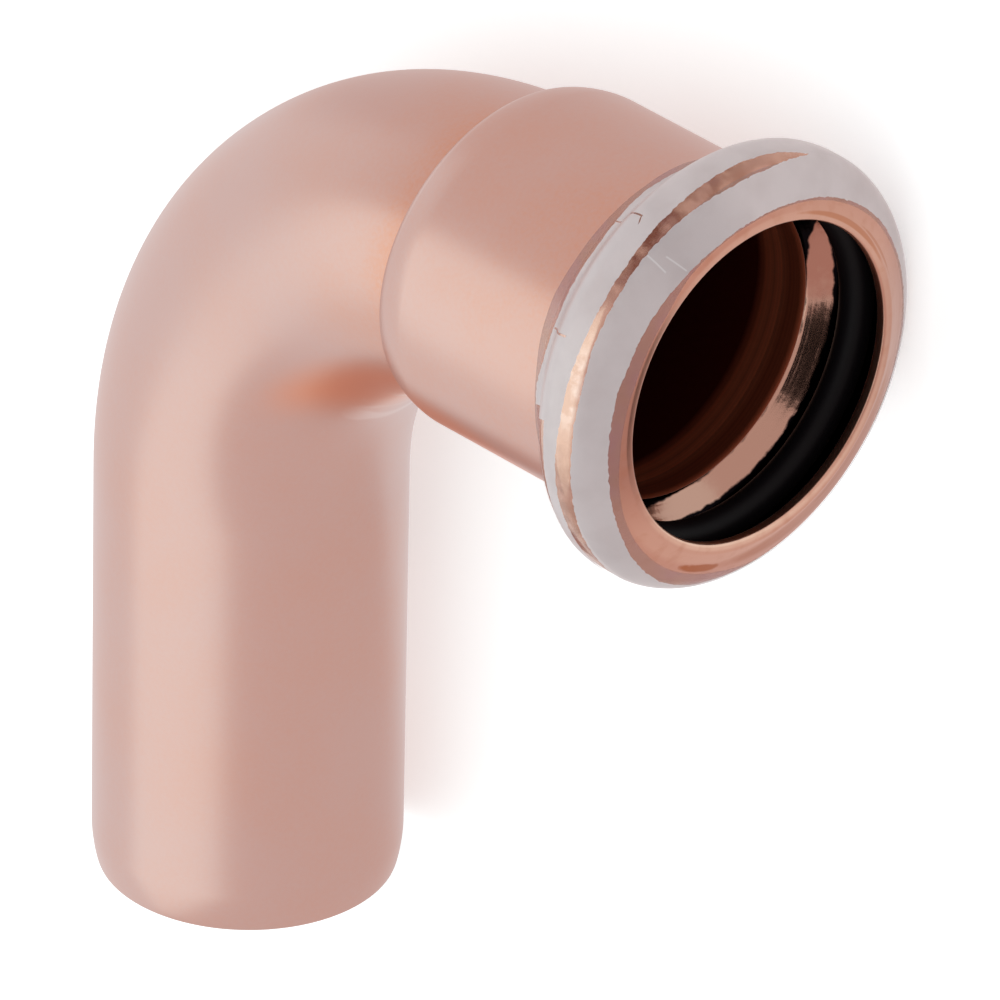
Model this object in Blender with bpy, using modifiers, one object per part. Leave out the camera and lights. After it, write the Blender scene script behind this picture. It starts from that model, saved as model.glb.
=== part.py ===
"""Copper press fitting: a right-angle street elbow for 22 mm tube.

The body is one piece of copper tube. It is bent through a right angle, left plain at one end,
and at the other end opened out into a socket whose mouth is rolled into a bead. The bead
holds a rubber seal ring, and a thin plastic sleeve is shrunk over the outside of the bead.

The fitting lies on its side, as it comes to rest. In its own plane the plain leg runs along
+Y and the socket points along +X, and the lengths along the socket start at the leg's axis.
"""

import math

import bmesh
import bpy
from mathutils import Matrix, Vector

MM = 0.001

# Tube and bend
TUBE_RADIUS = 11.0 * MM
TUBE_WALL = 1.5 * MM
LEG_LENGTH = 31.9 * MM
BEND_RADIUS = 27.9 * MM
OUTER_DEBURR = 0.4 * MM
INNER_DEBURR = 0.3 * MM

# Socket
SOCKET_CLEARANCE = 0.15 * MM
SOCKET_WALL = 1.5 * MM
SHOULDER_LEAD = 3.25 * MM
SHOULDER_LENGTH = 3.4 * MM
SHOULDER_STEEPNESS = 2.2
SHOULDER_ROUNDING = 1.5
MOUTH_LENGTH = 21.05 * MM

# Bead
BEAD_WALL = 1.25 * MM
BEAD_RISE = 1.04 * MM
BEAD_ROUND = 1.84 * MM
BEAD_FLAT = 0.72 * MM
BEAD_SETBACK = 2.46 * MM
BEAD_FLANK = math.radians(50.0)
BEAD_FOOT_ROUND = 1.5 * MM
LIP_CLEARANCE = 0.66 * MM

# Seal ring
SEAL_SECTION_RADIUS = 1.05 * MM
SEAL_GAP = 0.3 * MM

# Shrunk sleeve
SLEEVE_GAP = 0.25 * MM
SLEEVE_THICKNESS = 0.12 * MM
SLEEVE_TAIL = 1.1 * MM
SLEEVE_FRONT_COVER = 0.55

# Fineness of the facets, and how far the socket's form dips into the tube's wall
SIDES = 48
BEND_STEPS = 16
ARC_STEP = math.radians(18.0)
OVERLAP = 0.3 * MM

# Values that follow from the sizes above
BORE_RADIUS = TUBE_RADIUS + SOCKET_CLEARANCE
SOCKET_RADIUS = BORE_RADIUS + SOCKET_WALL
AXIS_HEIGHT = LEG_LENGTH + BEND_RADIUS
SHOULDER_X = BEND_RADIUS - SHOULDER_LEAD
MOUTH_X = BEND_RADIUS + MOUTH_LENGTH
CREST_FRONT = Vector((MOUTH_X - BEAD_SETBACK, SOCKET_RADIUS + BEAD_RISE))
CREST_REAR = CREST_FRONT - Vector((BEAD_FLAT, 0))
LIP_CENTRE = Vector((MOUTH_X - BEAD_WALL / 2, BORE_RADIUS + LIP_CLEARANCE + BEAD_WALL / 2))
FLANK_NORMAL = Vector((-math.sin(BEAD_FLANK), math.cos(BEAD_FLANK)))
UP = math.pi / 2


def direction(angle):
    """Unit vector of a profile, where 0 points along the socket and 90 degrees outwards."""
    return Vector((math.cos(angle), math.sin(angle)))


def arc(centre, radius, start, end):
    """Points of a round stretch of a profile, both ends included."""
    steps = max(1, math.ceil(abs(end - start) / ARC_STEP))
    return [centre + radius * direction(start + (end - start) * i / steps) for i in range(steps + 1)]


def foot_centre():
    """Centre of the hollow rounding between the socket and the bead's rear flank."""
    height = SOCKET_RADIUS + BEAD_FOOT_ROUND
    reach = math.cos(BEAD_FLANK) * (CREST_REAR.y - height) + BEAD_ROUND + BEAD_FOOT_ROUND
    return Vector((CREST_REAR.x - reach / math.sin(BEAD_FLANK), height))


def front_angle():
    """Direction that the bead's front face looks in, tangent to its crest and its lip."""
    span = LIP_CENTRE - CREST_FRONT
    lean = math.acos((BEAD_ROUND - BEAD_WALL / 2) / span.length)
    return math.atan2(span.y, span.x) + lean


def bead_skin(offset):
    """Profile of the bead from its foot to the foremost point of its lip, moved outwards."""
    front = front_angle()
    return (
        arc(foot_centre(), BEAD_FOOT_ROUND - offset, -UP, BEAD_FLANK - UP)
        + arc(CREST_REAR, BEAD_ROUND + offset, UP + BEAD_FLANK, UP)
        + arc(CREST_FRONT, BEAD_ROUND + offset, UP, front)
        + arc(LIP_CENTRE, BEAD_WALL / 2 + offset, front, 0)
    )


def shoulder_skin():
    """Profile of the rounded shoulder where the tube opens out into the socket."""
    steps = 6
    points = [Vector((SHOULDER_X, TUBE_RADIUS - OVERLAP))]
    for i in range(1, steps + 1):
        along = 1 - math.cos(UP * i / steps)
        rise = (1 - (1 - along) ** SHOULDER_ROUNDING) ** (1 / SHOULDER_STEEPNESS)
        radius = TUBE_RADIUS + (SOCKET_RADIUS - TUBE_RADIUS) * rise
        points.append(Vector((SHOULDER_X + SHOULDER_LENGTH * along, radius)))
    return points


def shoulder_bore():
    """Inside of the shoulder, which stops the tube: a round edge, then a slope to the bore."""
    crease = Vector((SHOULDER_X, TUBE_RADIUS))
    return arc(crease, TUBE_WALL, -UP, -UP / 4) + [
        Vector((SHOULDER_X + SHOULDER_LENGTH * 0.75, BORE_RADIUS - SOCKET_CLEARANCE)),
        Vector((SHOULDER_X + SHOULDER_LENGTH, BORE_RADIUS)),
    ]


def groove_rear():
    """The two ends of the groove's rear slope, inside the bead."""
    low = foot_centre() - (BEAD_FOOT_ROUND + SOCKET_WALL) * FLANK_NORMAL
    high = CREST_REAR + (BEAD_ROUND - BEAD_WALL) * FLANK_NORMAL
    return low, high


def bead_bore():
    """Inside of the bead from the bore to the back of its lip."""
    front = front_angle()
    hollow = BEAD_ROUND - BEAD_WALL
    return (
        arc(foot_centre(), BEAD_FOOT_ROUND + SOCKET_WALL, -UP, BEAD_FLANK - UP)
        + arc(CREST_REAR, hollow, UP + BEAD_FLANK, UP)
        + arc(CREST_FRONT, hollow, UP, front)
        + arc(LIP_CENTRE, BEAD_WALL / 2, front - math.pi, 0)[:-1]
    )


def socket_profile():
    """Closed section of the socket, from the middle of its floor round the lip and back."""
    floor = SHOULDER_X + OUTER_DEBURR
    inside = [Vector((floor, 0)), Vector((floor, TUBE_RADIUS - TUBE_WALL - OVERLAP))]
    inside += [p for p in shoulder_bore() if p.x > floor] + bead_bore()
    outside = shoulder_skin() + bead_skin(0)
    return inside + outside[::-1] + [Vector((SHOULDER_X, 0))]


def without_repeats(points):
    """The points with the ones left out that lie on the one before."""
    kept = [points[0]]
    for point in points[1:]:
        if (point - kept[-1]).length > 0.01 * MM:
            kept.append(point)
    return kept


def make_material(name, colour, roughness, metallic, alpha=1.0):
    """A Principled material in one plain colour."""
    material = bpy.data.materials.new(name)
    material.use_nodes = True
    shader = material.node_tree.nodes["Principled BSDF"]
    shader.inputs["Base Color"].default_value = (*colour, 1.0)
    shader.inputs["Roughness"].default_value = roughness
    shader.inputs["Metallic"].default_value = metallic
    shader.inputs["Alpha"].default_value = alpha
    return material


def make_collection(name):
    collection = bpy.data.collections.new(name)
    bpy.context.scene.collection.children.link(collection)
    return collection


def place(obj, collection, parent):
    collection.objects.link(obj)
    obj.parent = parent
    return obj


def as_cutter(obj):
    obj.hide_render = True
    obj.display_type = "WIRE"
    return obj


def turned(name, points, closed, collection, parent):
    """A shape turned about the socket's axis, from a section given as (along, radius)."""
    mesh = bpy.data.meshes.new(name)
    edges = [(i, i + 1) for i in range(len(points) - 1)]
    if closed:
        edges.append((len(points) - 1, 0))
    mesh.from_pydata([(p.y, 0.0, p.x) for p in points], edges, [])
    obj = place(bpy.data.objects.new(name, mesh), collection, parent)
    obj.location = (0.0, AXIS_HEIGHT, 0.0)
    obj.rotation_euler = (0.0, UP, 0.0)
    screw = obj.modifiers.new("Turn", "SCREW")
    screw.axis = "Z"
    screw.angle = 2 * math.pi
    screw.steps = screw.render_steps = SIDES
    screw.use_merge_vertices = True
    screw.merge_threshold = 0.001 * MM
    return obj


def tube_path(start, end_x):
    """Centre line of the tube: up the leg, round the bend, and level at end_x."""
    centre = Vector((BEND_RADIUS, LEG_LENGTH))
    stop = math.acos(min(1.0, max(0.0, (BEND_RADIUS - end_x + OUTER_DEBURR) / BEND_RADIUS)))
    path = [Vector((0.0, y)) for y in start]
    for i in range(BEND_STEPS + 1):
        angle = stop * i / BEND_STEPS
        path.append(centre + BEND_RADIUS * Vector((-math.cos(angle), math.sin(angle))))
    path.append(Vector((end_x, path[-1].y)))
    return path


def bent_tube(name, radius, start, start_radius, end_x, collection, parent):
    """A solid bar along the tube's centre line, its first point as wide as start_radius."""
    path = tube_path(start, end_x)
    curve = bpy.data.curves.new(name, "CURVE")
    curve.dimensions = "3D"
    curve.bevel_depth = radius
    curve.bevel_resolution = SIDES // 2 - 2
    curve.use_fill_caps = True
    spline = curve.splines.new("POLY")
    spline.points.add(len(path) - 1)
    for point, place_on_path in zip(spline.points, path):
        point.co = (*place_on_path, 0.0, 1.0)
    spline.points[0].radius = start_radius / radius
    guide = place(bpy.data.objects.new(name + "_line", curve), collection, parent)
    mesh = bpy.data.meshes.new_from_object(guide.evaluated_get(bpy.context.evaluated_depsgraph_get()))
    bpy.data.objects.remove(guide)
    bars = bmesh.new()
    bars.from_mesh(mesh)
    bmesh.ops.remove_doubles(bars, verts=bars.verts, dist=0.001 * MM)
    bmesh.ops.recalc_face_normals(bars, faces=bars.faces)
    bars.to_mesh(mesh)
    bars.free()
    return place(bpy.data.objects.new(name, mesh), collection, parent)


def boolean(obj, other, operation):
    modifier = obj.modifiers.new(other.name, "BOOLEAN")
    modifier.object = other
    modifier.operation = operation
    modifier.solver = "EXACT"


def make_elbow(parts, cutters, fitting):
    """The copper body: the bent tube, joined to the socket and bored through."""
    elbow = bent_tube(
        "copper_elbow",
        TUBE_RADIUS,
        (0.0, OUTER_DEBURR),
        TUBE_RADIUS - OUTER_DEBURR,
        SHOULDER_X + OUTER_DEBURR / 2,
        parts,
        fitting,
    )
    bore = TUBE_RADIUS - TUBE_WALL
    waterway = bent_tube(
        "waterway",
        bore,
        (-INNER_DEBURR, INNER_DEBURR),
        bore + 2 * INNER_DEBURR,
        BEND_RADIUS,
        cutters,
        fitting,
    )
    socket = turned("socket_form", without_repeats(socket_profile()), False, cutters, fitting)
    boolean(elbow, as_cutter(socket), "UNION")
    boolean(elbow, as_cutter(waterway), "DIFFERENCE")
    elbow.data.materials.append(make_material("copper", (0.72, 0.42, 0.33), 0.35, 1.0))
    return elbow


def seal_centre():
    """Where the ring's section sits, as near to the groove's slope as to its front wall."""
    clear = SEAL_SECTION_RADIUS + SEAL_GAP
    low, high = groove_rear()
    slope = (high - low).normalized()
    rear_normal = Vector((slope.y, -slope.x))
    front_normal = direction(front_angle() + math.pi)
    front_wall = LIP_CENTRE + BEAD_WALL / 2 * front_normal
    sides = Matrix((rear_normal, front_normal))
    return sides.inverted() @ Vector(
        (rear_normal.dot(low) + clear, front_normal.dot(front_wall) + clear)
    )


def make_seal(parts, fitting):
    """The rubber ring that lies in the bead's groove."""
    centre = seal_centre()
    bpy.ops.mesh.primitive_torus_add(
        major_radius=centre.y,
        minor_radius=SEAL_SECTION_RADIUS,
        major_segments=SIDES,
        minor_segments=14,
        location=(centre.x, AXIS_HEIGHT, 0.0),
        rotation=(0.0, UP, 0.0),
    )
    seal = bpy.context.object
    seal.name = seal.data.name = "seal_ring"
    for collection in list(seal.users_collection):
        collection.objects.unlink(seal)
    place(seal, parts, fitting)
    seal.data.materials.append(make_material("black_rubber", (0.02, 0.02, 0.022), 0.45, 0.0))
    return seal


def sleeve_line(offset):
    """One face of the sleeve, from its tail on the socket to its edge on the bead's front."""
    skin = without_repeats(bead_skin(offset))
    tail = Vector((skin[0].x - SLEEVE_TAIL, skin[0].y))
    front = direction(front_angle())
    over_crest = CREST_FRONT + (BEAD_ROUND + offset) * front
    over_lip = LIP_CENTRE + (BEAD_WALL / 2 + offset) * front
    edge = over_crest.lerp(over_lip, SLEEVE_FRONT_COVER)
    crest = [p for p in skin if p.x < over_crest.x - 0.01 * MM]
    return [tail] + crest + [over_crest, edge]


def make_sleeve(parts, fitting):
    """The clear plastic sleeve shrunk over the bead, a thin wall that follows it."""
    inside = sleeve_line(SLEEVE_GAP)
    outside = sleeve_line(SLEEVE_GAP + SLEEVE_THICKNESS)
    sleeve = turned("indicator_sleeve", inside + outside[::-1], True, parts, fitting)
    sleeve.data.materials.append(make_material("clear_film", (0.75, 0.75, 0.76), 0.2, 0.0, 0.5))
    return sleeve


def resting_lean():
    """How far the socket tips up, about the leg, when the leg and the bead lie on the ground."""
    reach = CREST_REAR.length
    wrapped_round = BEAD_ROUND + SLEEVE_GAP + SLEEVE_THICKNESS
    rise = math.atan2(CREST_REAR.y, CREST_REAR.x)
    return rise + math.asin((wrapped_round - TUBE_RADIUS) / reach)


def lay_down(fitting, pieces):
    """Lays the fitting on its side, with the middle of its footprint at the origin."""
    fitting.rotation_euler = (0.0, -resting_lean(), 0.0)
    bpy.context.view_layer.update()
    shapes = bpy.context.evaluated_depsgraph_get()
    corners = []
    for piece in pieces:
        shape = piece.evaluated_get(shapes)
        corners += [shape.matrix_world @ v.co for v in shape.data.vertices]
    low = [min(c[axis] for c in corners) for axis in range(3)]
    high = [max(c[axis] for c in corners) for axis in range(3)]
    fitting.location = (-(low[0] + high[0]) / 2, -(low[1] + high[1]) / 2, -low[2])
    bpy.context.view_layer.update()


def main():
    for obj in list(bpy.data.objects):
        bpy.data.objects.remove(obj)
    parts = make_collection("press_fitting_elbow")
    cutters = make_collection("forms")
    fitting = place(bpy.data.objects.new("fitting", None), parts, None)
    elbow = make_elbow(parts, cutters, fitting)
    seal = make_seal(parts, fitting)
    sleeve = make_sleeve(parts, fitting)
    for piece in (elbow, seal, sleeve):
        piece.data.shade_smooth()
        piece.data.set_sharp_from_angle(angle=math.radians(35))
    lay_down(fitting, (elbow, seal, sleeve))


main()
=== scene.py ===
"""Looks of a copper press fitting: a right-angle street elbow that lies on its side.

The fitting's own plane is flat in XY: its plain leg runs along +Y from the cut end, and its
socket points along +X. Sizes and sections are given there, and place() lays each piece down.
"""

import math
from functools import partialmethod

import bpy
import numpy as np
from bpy.props import FloatProperty, FloatVectorProperty, IntProperty, PointerProperty
from mathutils import Matrix, Vector


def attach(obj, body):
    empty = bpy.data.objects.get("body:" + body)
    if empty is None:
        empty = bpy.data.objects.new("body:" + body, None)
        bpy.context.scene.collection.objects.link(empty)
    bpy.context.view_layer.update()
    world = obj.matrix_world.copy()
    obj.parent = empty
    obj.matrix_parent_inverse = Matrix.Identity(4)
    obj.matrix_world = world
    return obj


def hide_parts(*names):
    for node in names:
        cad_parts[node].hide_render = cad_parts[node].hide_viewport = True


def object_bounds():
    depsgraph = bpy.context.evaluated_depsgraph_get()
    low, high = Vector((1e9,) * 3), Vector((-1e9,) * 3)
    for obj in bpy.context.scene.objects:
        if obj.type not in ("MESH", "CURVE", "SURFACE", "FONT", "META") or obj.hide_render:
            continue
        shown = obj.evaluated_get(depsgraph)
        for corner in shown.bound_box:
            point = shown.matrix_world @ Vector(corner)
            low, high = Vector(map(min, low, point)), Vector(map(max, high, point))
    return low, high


bl_info = {
    "name": "Copper Press Elbow",
    "version": (1, 0, 0),
    "blender": (4, 5, 0),
    "location": "View3D > Sidebar > Press Elbow",
    "description": "Builds a copper press fitting elbow with its seal ring, film and stage",
    "category": "Object",
}

MM = 0.001
UP = math.pi / 2
MERGE = 0.01 * MM

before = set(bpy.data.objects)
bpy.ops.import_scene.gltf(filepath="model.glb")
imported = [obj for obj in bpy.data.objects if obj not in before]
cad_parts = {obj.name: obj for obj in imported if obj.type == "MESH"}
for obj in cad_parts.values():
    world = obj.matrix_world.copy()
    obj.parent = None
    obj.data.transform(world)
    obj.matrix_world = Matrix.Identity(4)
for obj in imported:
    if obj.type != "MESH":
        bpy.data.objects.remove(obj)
CAD_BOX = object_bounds()


def srgb(code):
    """A linear colour from an sRGB hex code such as #b87333."""
    channels = [int(code[i:i + 2], 16) / 255 for i in (1, 3, 5)]
    return tuple(c / 12.92 if c <= 0.04045 else ((c + 0.055) / 1.055) ** 2.4 for c in channels)


def length(name, millimetres, description):
    """A length that is given in mm and kept in metres."""
    return FloatProperty(
        name=name,
        description=description,
        default=millimetres * MM,
        min=0.0,
        unit="LENGTH",
        precision=5,
    )


def colour(name, code, description):
    """A colour that is given as an sRGB hex code."""
    return FloatVectorProperty(
        name=name,
        description=description,
        default=srgb(code),
        size=3,
        min=0.0,
        max=1.0,
        subtype="COLOR",
    )


def number(name, default, description):
    """A plain number."""
    return FloatProperty(name=name, description=description, default=default, min=0.0)


def angle(name, degrees, description):
    """An angle up to a right one that is given in degrees and kept in radians."""
    return FloatProperty(
        name=name,
        description=description,
        default=math.radians(degrees),
        min=0.1,
        max=UP,
        subtype="ANGLE",
    )


def whole_number(name, default, description, high=400):
    """A whole number of facets or rings."""
    return IntProperty(name=name, description=description, default=default, min=16, max=high)


class TubeSizes(bpy.types.PropertyGroup):
    """The tube that the elbow is bent from."""

    radius: length("Radius", 11.0, "Outside radius of the tube")
    wall: length("Wall", 1.5, "Thickness of the tube's wall")
    leg: length("Leg", 31.9, "Straight length from the cut end to the bend")
    bend: length("Bend radius", 27.9, "Radius of the bend at the tube's centre line")
    end_round: length("End rounding", 0.4, "Rounding of the cut end's two edges")
    sides: whole_number("Sides", 160, "Facets round the tube", high=256)
    steps: whole_number("Steps", 150, "Rings along the tube")


class SocketSizes(bpy.types.PropertyGroup):
    """The socket, turned about its own axis."""

    radius: length("Radius", 12.67, "Outside radius of the socket")
    bore: length("Bore", 11.17, "Radius of the bore that takes the tube")
    shoulder_start: length("Shoulder start", 24.7, "Where the shoulder rises from the bend")
    shoulder_length: length("Shoulder length", 3.3, "Length of the rounded shoulder")
    shoulder_power: number("Shoulder rounding", 1.46, "Fullness of the shoulder's round")
    shoulder_steepness: number("Shoulder steepness", 2.3, "How steeply the shoulder starts")
    slant: number("Slant", 0.065, "Lean of the shoulder against the socket's axis")
    mouth: length("Mouth", 49.6, "Distance of the mouth's plane from the leg's axis")


class BeadSizes(bpy.types.PropertyGroup):
    """The rolled bead at the socket's mouth."""

    crest_rear: length("Crest rear", 45.77, "Where the crest's round starts")
    crest_front: length("Crest front", 46.49, "Where the crest's round ends")
    crest_height: length("Crest height", 13.7, "Distance of the crest's centre from the axis")
    crest_round: length("Crest rounding", 2.12, "Radius of the crest")
    flank: angle("Flank angle", 48.0, "Slope of the rear flank")
    foot_round: length("Foot rounding", 1.5, "Hollow rounding at the flank's foot")
    lip_round: length("Lip rounding", 0.53, "Half the lip's thickness")
    lip_corner: length("Lip corner", 0.22, "Rounding of the lip's inner corner")
    lip_radius: length("Lip radius", 11.66, "Inner radius of the lip")
    bore_round: length("Bore rounding", 1.0, "Rounding between the bore and the inner flank")
    wall: length("Wall", 1.25, "Wall round the groove")


class SealSizes(bpy.types.PropertyGroup):
    """The rubber ring in the bead."""

    section: length("Section radius", 1.2, "Radius of the ring's section")
    place: length("Place", 45.75, "Distance of the ring from the leg's axis")
    radius: length("Radius", 12.8, "Radius of the ring at its section's centre")
    sides: whole_number("Sides", 160, "Facets round the ring", high=256)
    unevenness: length("Unevenness", 0.02, "Height of the rubber's unevenness")
    grain: length("Grain", 3.0, "Size of the rubber's unevenness")


class FilmSizes(bpy.types.PropertyGroup):
    """The printed plastic film shrunk over the bead."""

    gap: length("Gap", 0.02, "Clearance between the film and the copper")
    thickness: length("Thickness", 0.07, "Thickness of the film")
    tail: length("Tail", 0.75, "Length of the film on the socket, behind the bead's foot")
    front: length("Front", 5.1, "Reach of the film over the crest, along its skin")
    ripple: length("Ripple", 0.02, "Height of the film's unevenness")
    grain: length("Grain", 5.0, "Size of the film's unevenness")
    sides: whole_number("Sides", 256, "Facets round the film", high=512)


class Finishes(bpy.types.PropertyGroup):
    """Colours of the fitting."""

    copper: colour("Copper", "#d2b3aa", "Satin copper, outside")
    copper_warm: colour("Warm copper", "#d99c7e", "More orange copper towards the mouth")
    # Pale painted highlight on the bend's wrinkles and along the shoulder's first edge.
    copper_crook: colour("Crook copper", "#e6a688", "Copper in the crook of the bend")
    copper_bloom: colour("Bloom", "#ecdcd6", "Pale bloom on wrinkles of the bend's tight side")
    copper_rolled: colour("Rolled copper", "#cf9c88", "Copper that the bead's rollers burnished")
    # Burnished copper on the crest, made lighter to give part of its highlight as painted
    # highlight; it also colours the painted highlight on the lip's inner edge.
    copper_crest: colour("Crest copper", "#e8c2ac", "Bright copper on the bead's crest")
    copper_glint: colour("Glinting copper", "#fde4d4", "Copper where the crest catches the light")
    # Painted shade on parts of the lip and on the upper part of the bead's inner flank.
    copper_handled: colour("Handled copper", "#ae7c6c", "Duller copper on the lip's left and right")
    copper_stain: colour("Stained copper", "#7c4a38", "Brown stains on the bead's crest")
    copper_tarnish: colour("Tarnished copper", "#b0683f", "Orange stains on the lip")
    # Copper in the bore under painted light.
    copper_dull: colour("Dull copper", "#e88660", "Copper in the bore near the mouth")
    copper_flank: colour("Flank copper", "#ba9483", "Copper on the bead's inner flank")
    copper_soot: colour("Sooty copper", "#5c1e12", "Oxidised copper deeper inside")
    rubber: colour("Rubber", "#0b080b", "Seal rubber")
    print: colour("Print", "#d5c8c8", "White print on the film")
    # The print darkened by painted shade.
    print_thin: colour("Thin print", "#baafb0", "White print where it was put on thinly")
    film: colour("Film", "#7d625e", "Clear film over copper")
    film_mauve: colour("Mauve film", "#7a5e6c", "Clear film where it shimmers mauve")
    crease: colour("Crease", "#e6e2e3", "Folds that catch the light")


class StageSettings(bpy.types.PropertyGroup):
    """The floor and the light."""

    floor: colour("Floor", "#f4f4f4", "Colour of the floor")
    fill: colour("Fill", "#e7e7e7", "Even light on surfaces that aren't glossy")
    dim_side: colour("Dim side", "#eedfdd", "Light from the side away from the window")
    bright_side: colour("Bright side", "#fbf8fa", "Light from the side of the window")
    flag: colour("Flag", "#17100f", "Dark flag that the bead's inner flank mirrors")
    key: number("Key", 0.5, "Brightness of the softbox overhead")


class PressElbowSettings(bpy.types.PropertyGroup):
    """Everything that can be set on the fitting and its stage."""

    tube: PointerProperty(type=TubeSizes)
    socket: PointerProperty(type=SocketSizes)
    bead: PointerProperty(type=BeadSizes)
    seal: PointerProperty(type=SealSizes)
    film: PointerProperty(type=FilmSizes)
    finish: PointerProperty(type=Finishes)
    stage: PointerProperty(type=StageSettings)


# Where the fitting lies: tipped about its leg until the bead touches the ground too.
LEAN = math.radians(6.05)


def place():
    """Turns the fitting's own plane into the way it lies in the frame."""
    low = CAD_BOX[0]
    tube = bpy.context.scene.press_elbow.tube
    seat = Vector((low[0] + tube.radius, low[1], low[2] + tube.radius))
    return Matrix.Translation(seat) @ Matrix.Rotation(-LEAN, 4, "Y")


def axis_height():
    """Distance of the socket's axis from the cut end."""
    tube = bpy.context.scene.press_elbow.tube
    return tube.leg + tube.bend


def fill(node, links):
    """Fills a node's inputs with values or signals."""
    for socket, value in links.items():
        if isinstance(value, Signal):
            value.tree.links.new(value.output, node.inputs[socket])
        else:
            node.inputs[socket].default_value = value


def add_node(tree, kind, links=None, **settings):
    """Adds a node, sets its properties and fills its inputs."""
    node = tree.nodes.new(kind)
    for name, value in settings.items():
        setattr(node, name, value)
    fill(node, links or {})
    return node


def signal(tree, kind, links=None, output=0, **settings):
    """Adds a node and gives one of its outputs."""
    return Signal(add_node(tree, kind, links, **settings).outputs[output])


class Signal:
    """A node's output. Reckoning with it adds nodes to its tree and gives their result."""

    def __init__(self, output):
        self.output = output
        self.tree = output.id_data

    def math(self, operation, *values, **settings):
        links = dict(enumerate((self, *values)))
        return signal(self.tree, "ShaderNodeMath", links, operation=operation, **settings)

    __add__ = partialmethod(math, "ADD")
    __sub__ = partialmethod(math, "SUBTRACT")
    __mul__ = partialmethod(math, "MULTIPLY")
    __truediv__ = partialmethod(math, "DIVIDE")
    __abs__ = partialmethod(math, "ABSOLUTE")
    __gt__ = partialmethod(math, "GREATER_THAN")
    __lt__ = partialmethod(math, "LESS_THAN")
    larger = partialmethod(math, "MAXIMUM")
    smaller = partialmethod(math, "MINIMUM")

    def __rsub__(self, number_before):
        return self.math("MULTIPLY_ADD", -1.0, number_before)

    def length(self):
        """Length of a vector."""
        return signal(self.tree, "ShaderNodeVectorMath", {0: self}, "Value", operation="LENGTH")

    def ramp(self, low, high, first=0.0, last=1.0, shape="LINEAR"):
        """Carries a value from one range to another and holds it within that."""
        return signal(self.tree, "ShaderNodeMapRange", {
            "Value": self, "From Min": low, "From Max": high, "To Min": first, "To Max": last,
        }, "Result", interpolation_type=shape)

    def blend(self, first, second):
        """Mixes two colours, each a colour or a signal, by this share of the second."""
        colours = {
            label: value if isinstance(value, Signal) else (*value, 1.0)
            for label, value in (("A", first), ("B", second))
        }
        links = {"Factor": self, **colours}
        return signal(self.tree, "ShaderNodeMix", links, "Result", data_type="RGBA")

    def read(self, points):
        """Reads a height off the straight stretches between points of place and height."""
        places, heights = zip(*points)
        base, span = min(heights), max(heights) - min(heights)
        whole = places[-1] - places[0]
        node = add_node(self.tree, "ShaderNodeFloatCurve", {
            "Value": self.ramp(places[0], places[-1]),
        })
        curve = node.mapping.curves[0]
        curve.points[0].location = (0.0, (heights[0] - base) / span)
        curve.points[1].location = (1.0, (heights[-1] - base) / span)
        for where, height in points[1:-1]:
            curve.points.new((where - places[0]) / whole, (height - base) / span)
        for point in curve.points:
            point.handle_type = "VECTOR"
        node.mapping.update()
        return Signal(node.outputs[0]).math("MULTIPLY_ADD", span, base)


def join(tree, x=0.0, y=0.0, z=0.0):
    """A vector made of three numbers or signals."""
    return signal(tree, "ShaderNodeCombineXYZ", {"X": x, "Y": y, "Z": z})


def split(vector):
    """The three parts of a vector."""
    parts = add_node(vector.tree, "ShaderNodeSeparateXYZ", {"Vector": vector})
    return [Signal(output) for output in parts.outputs]


class OwnPlane:
    """Where a shaded point lies in the fitting's own plane."""

    def __init__(self, tree):
        back = place().inverted()
        self.vector = signal(tree, "ShaderNodeMapping", {
            "Vector": signal(tree, "ShaderNodeTexCoord", output="Object"),
            "Location": back.to_translation(),
            "Rotation": back.to_euler(),
        })
        self.x, self.y, z = split(self.vector)
        # Height over the socket's axis, distance from it, and degrees round it from the
        # photographed side.
        self.above = self.y - axis_height()
        self.radius = join(tree, self.above, z).length()
        self.turn = self.above.math("ARCTAN2", z).math("DEGREES")


def new_tree(name, wanted):
    """Starts a Geometry Nodes tree. Gives it and its inputs, wanted by name and default or kind."""
    tree = bpy.data.node_groups.new(name, "GeometryNodeTree")
    for label, default in wanted.items():
        kind = {float: "Float", int: "Int"}.get(type(default), default)
        socket = tree.interface.new_socket(label, socket_type=f"NodeSocket{kind}")
        if kind != default:
            socket.default_value = default
    tree.interface.new_socket("Geometry", in_out="OUTPUT", socket_type="NodeSocketGeometry")
    inputs = tree.nodes.new("NodeGroupInput").outputs
    return tree, {label: Signal(inputs[label]) for label in wanted}


def end_tree(tree, geometry):
    """Ends a Geometry Nodes tree in its geometry."""
    add_node(tree, "NodeGroupOutput", {"Geometry": geometry})
    return tree


def finish_tree(tree, geometry, material):
    """Ends a Geometry Nodes tree in a piece's smooth, real faces with their material."""
    smooth = signal(tree, "GeometryNodeSetShadeSmooth", {"Geometry": geometry})
    real = signal(tree, "GeometryNodeRealizeInstances", {"Geometry": smooth})
    links = {"Geometry": real, "Material": material}
    return end_tree(tree, signal(tree, "GeometryNodeSetMaterial", links))


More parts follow.
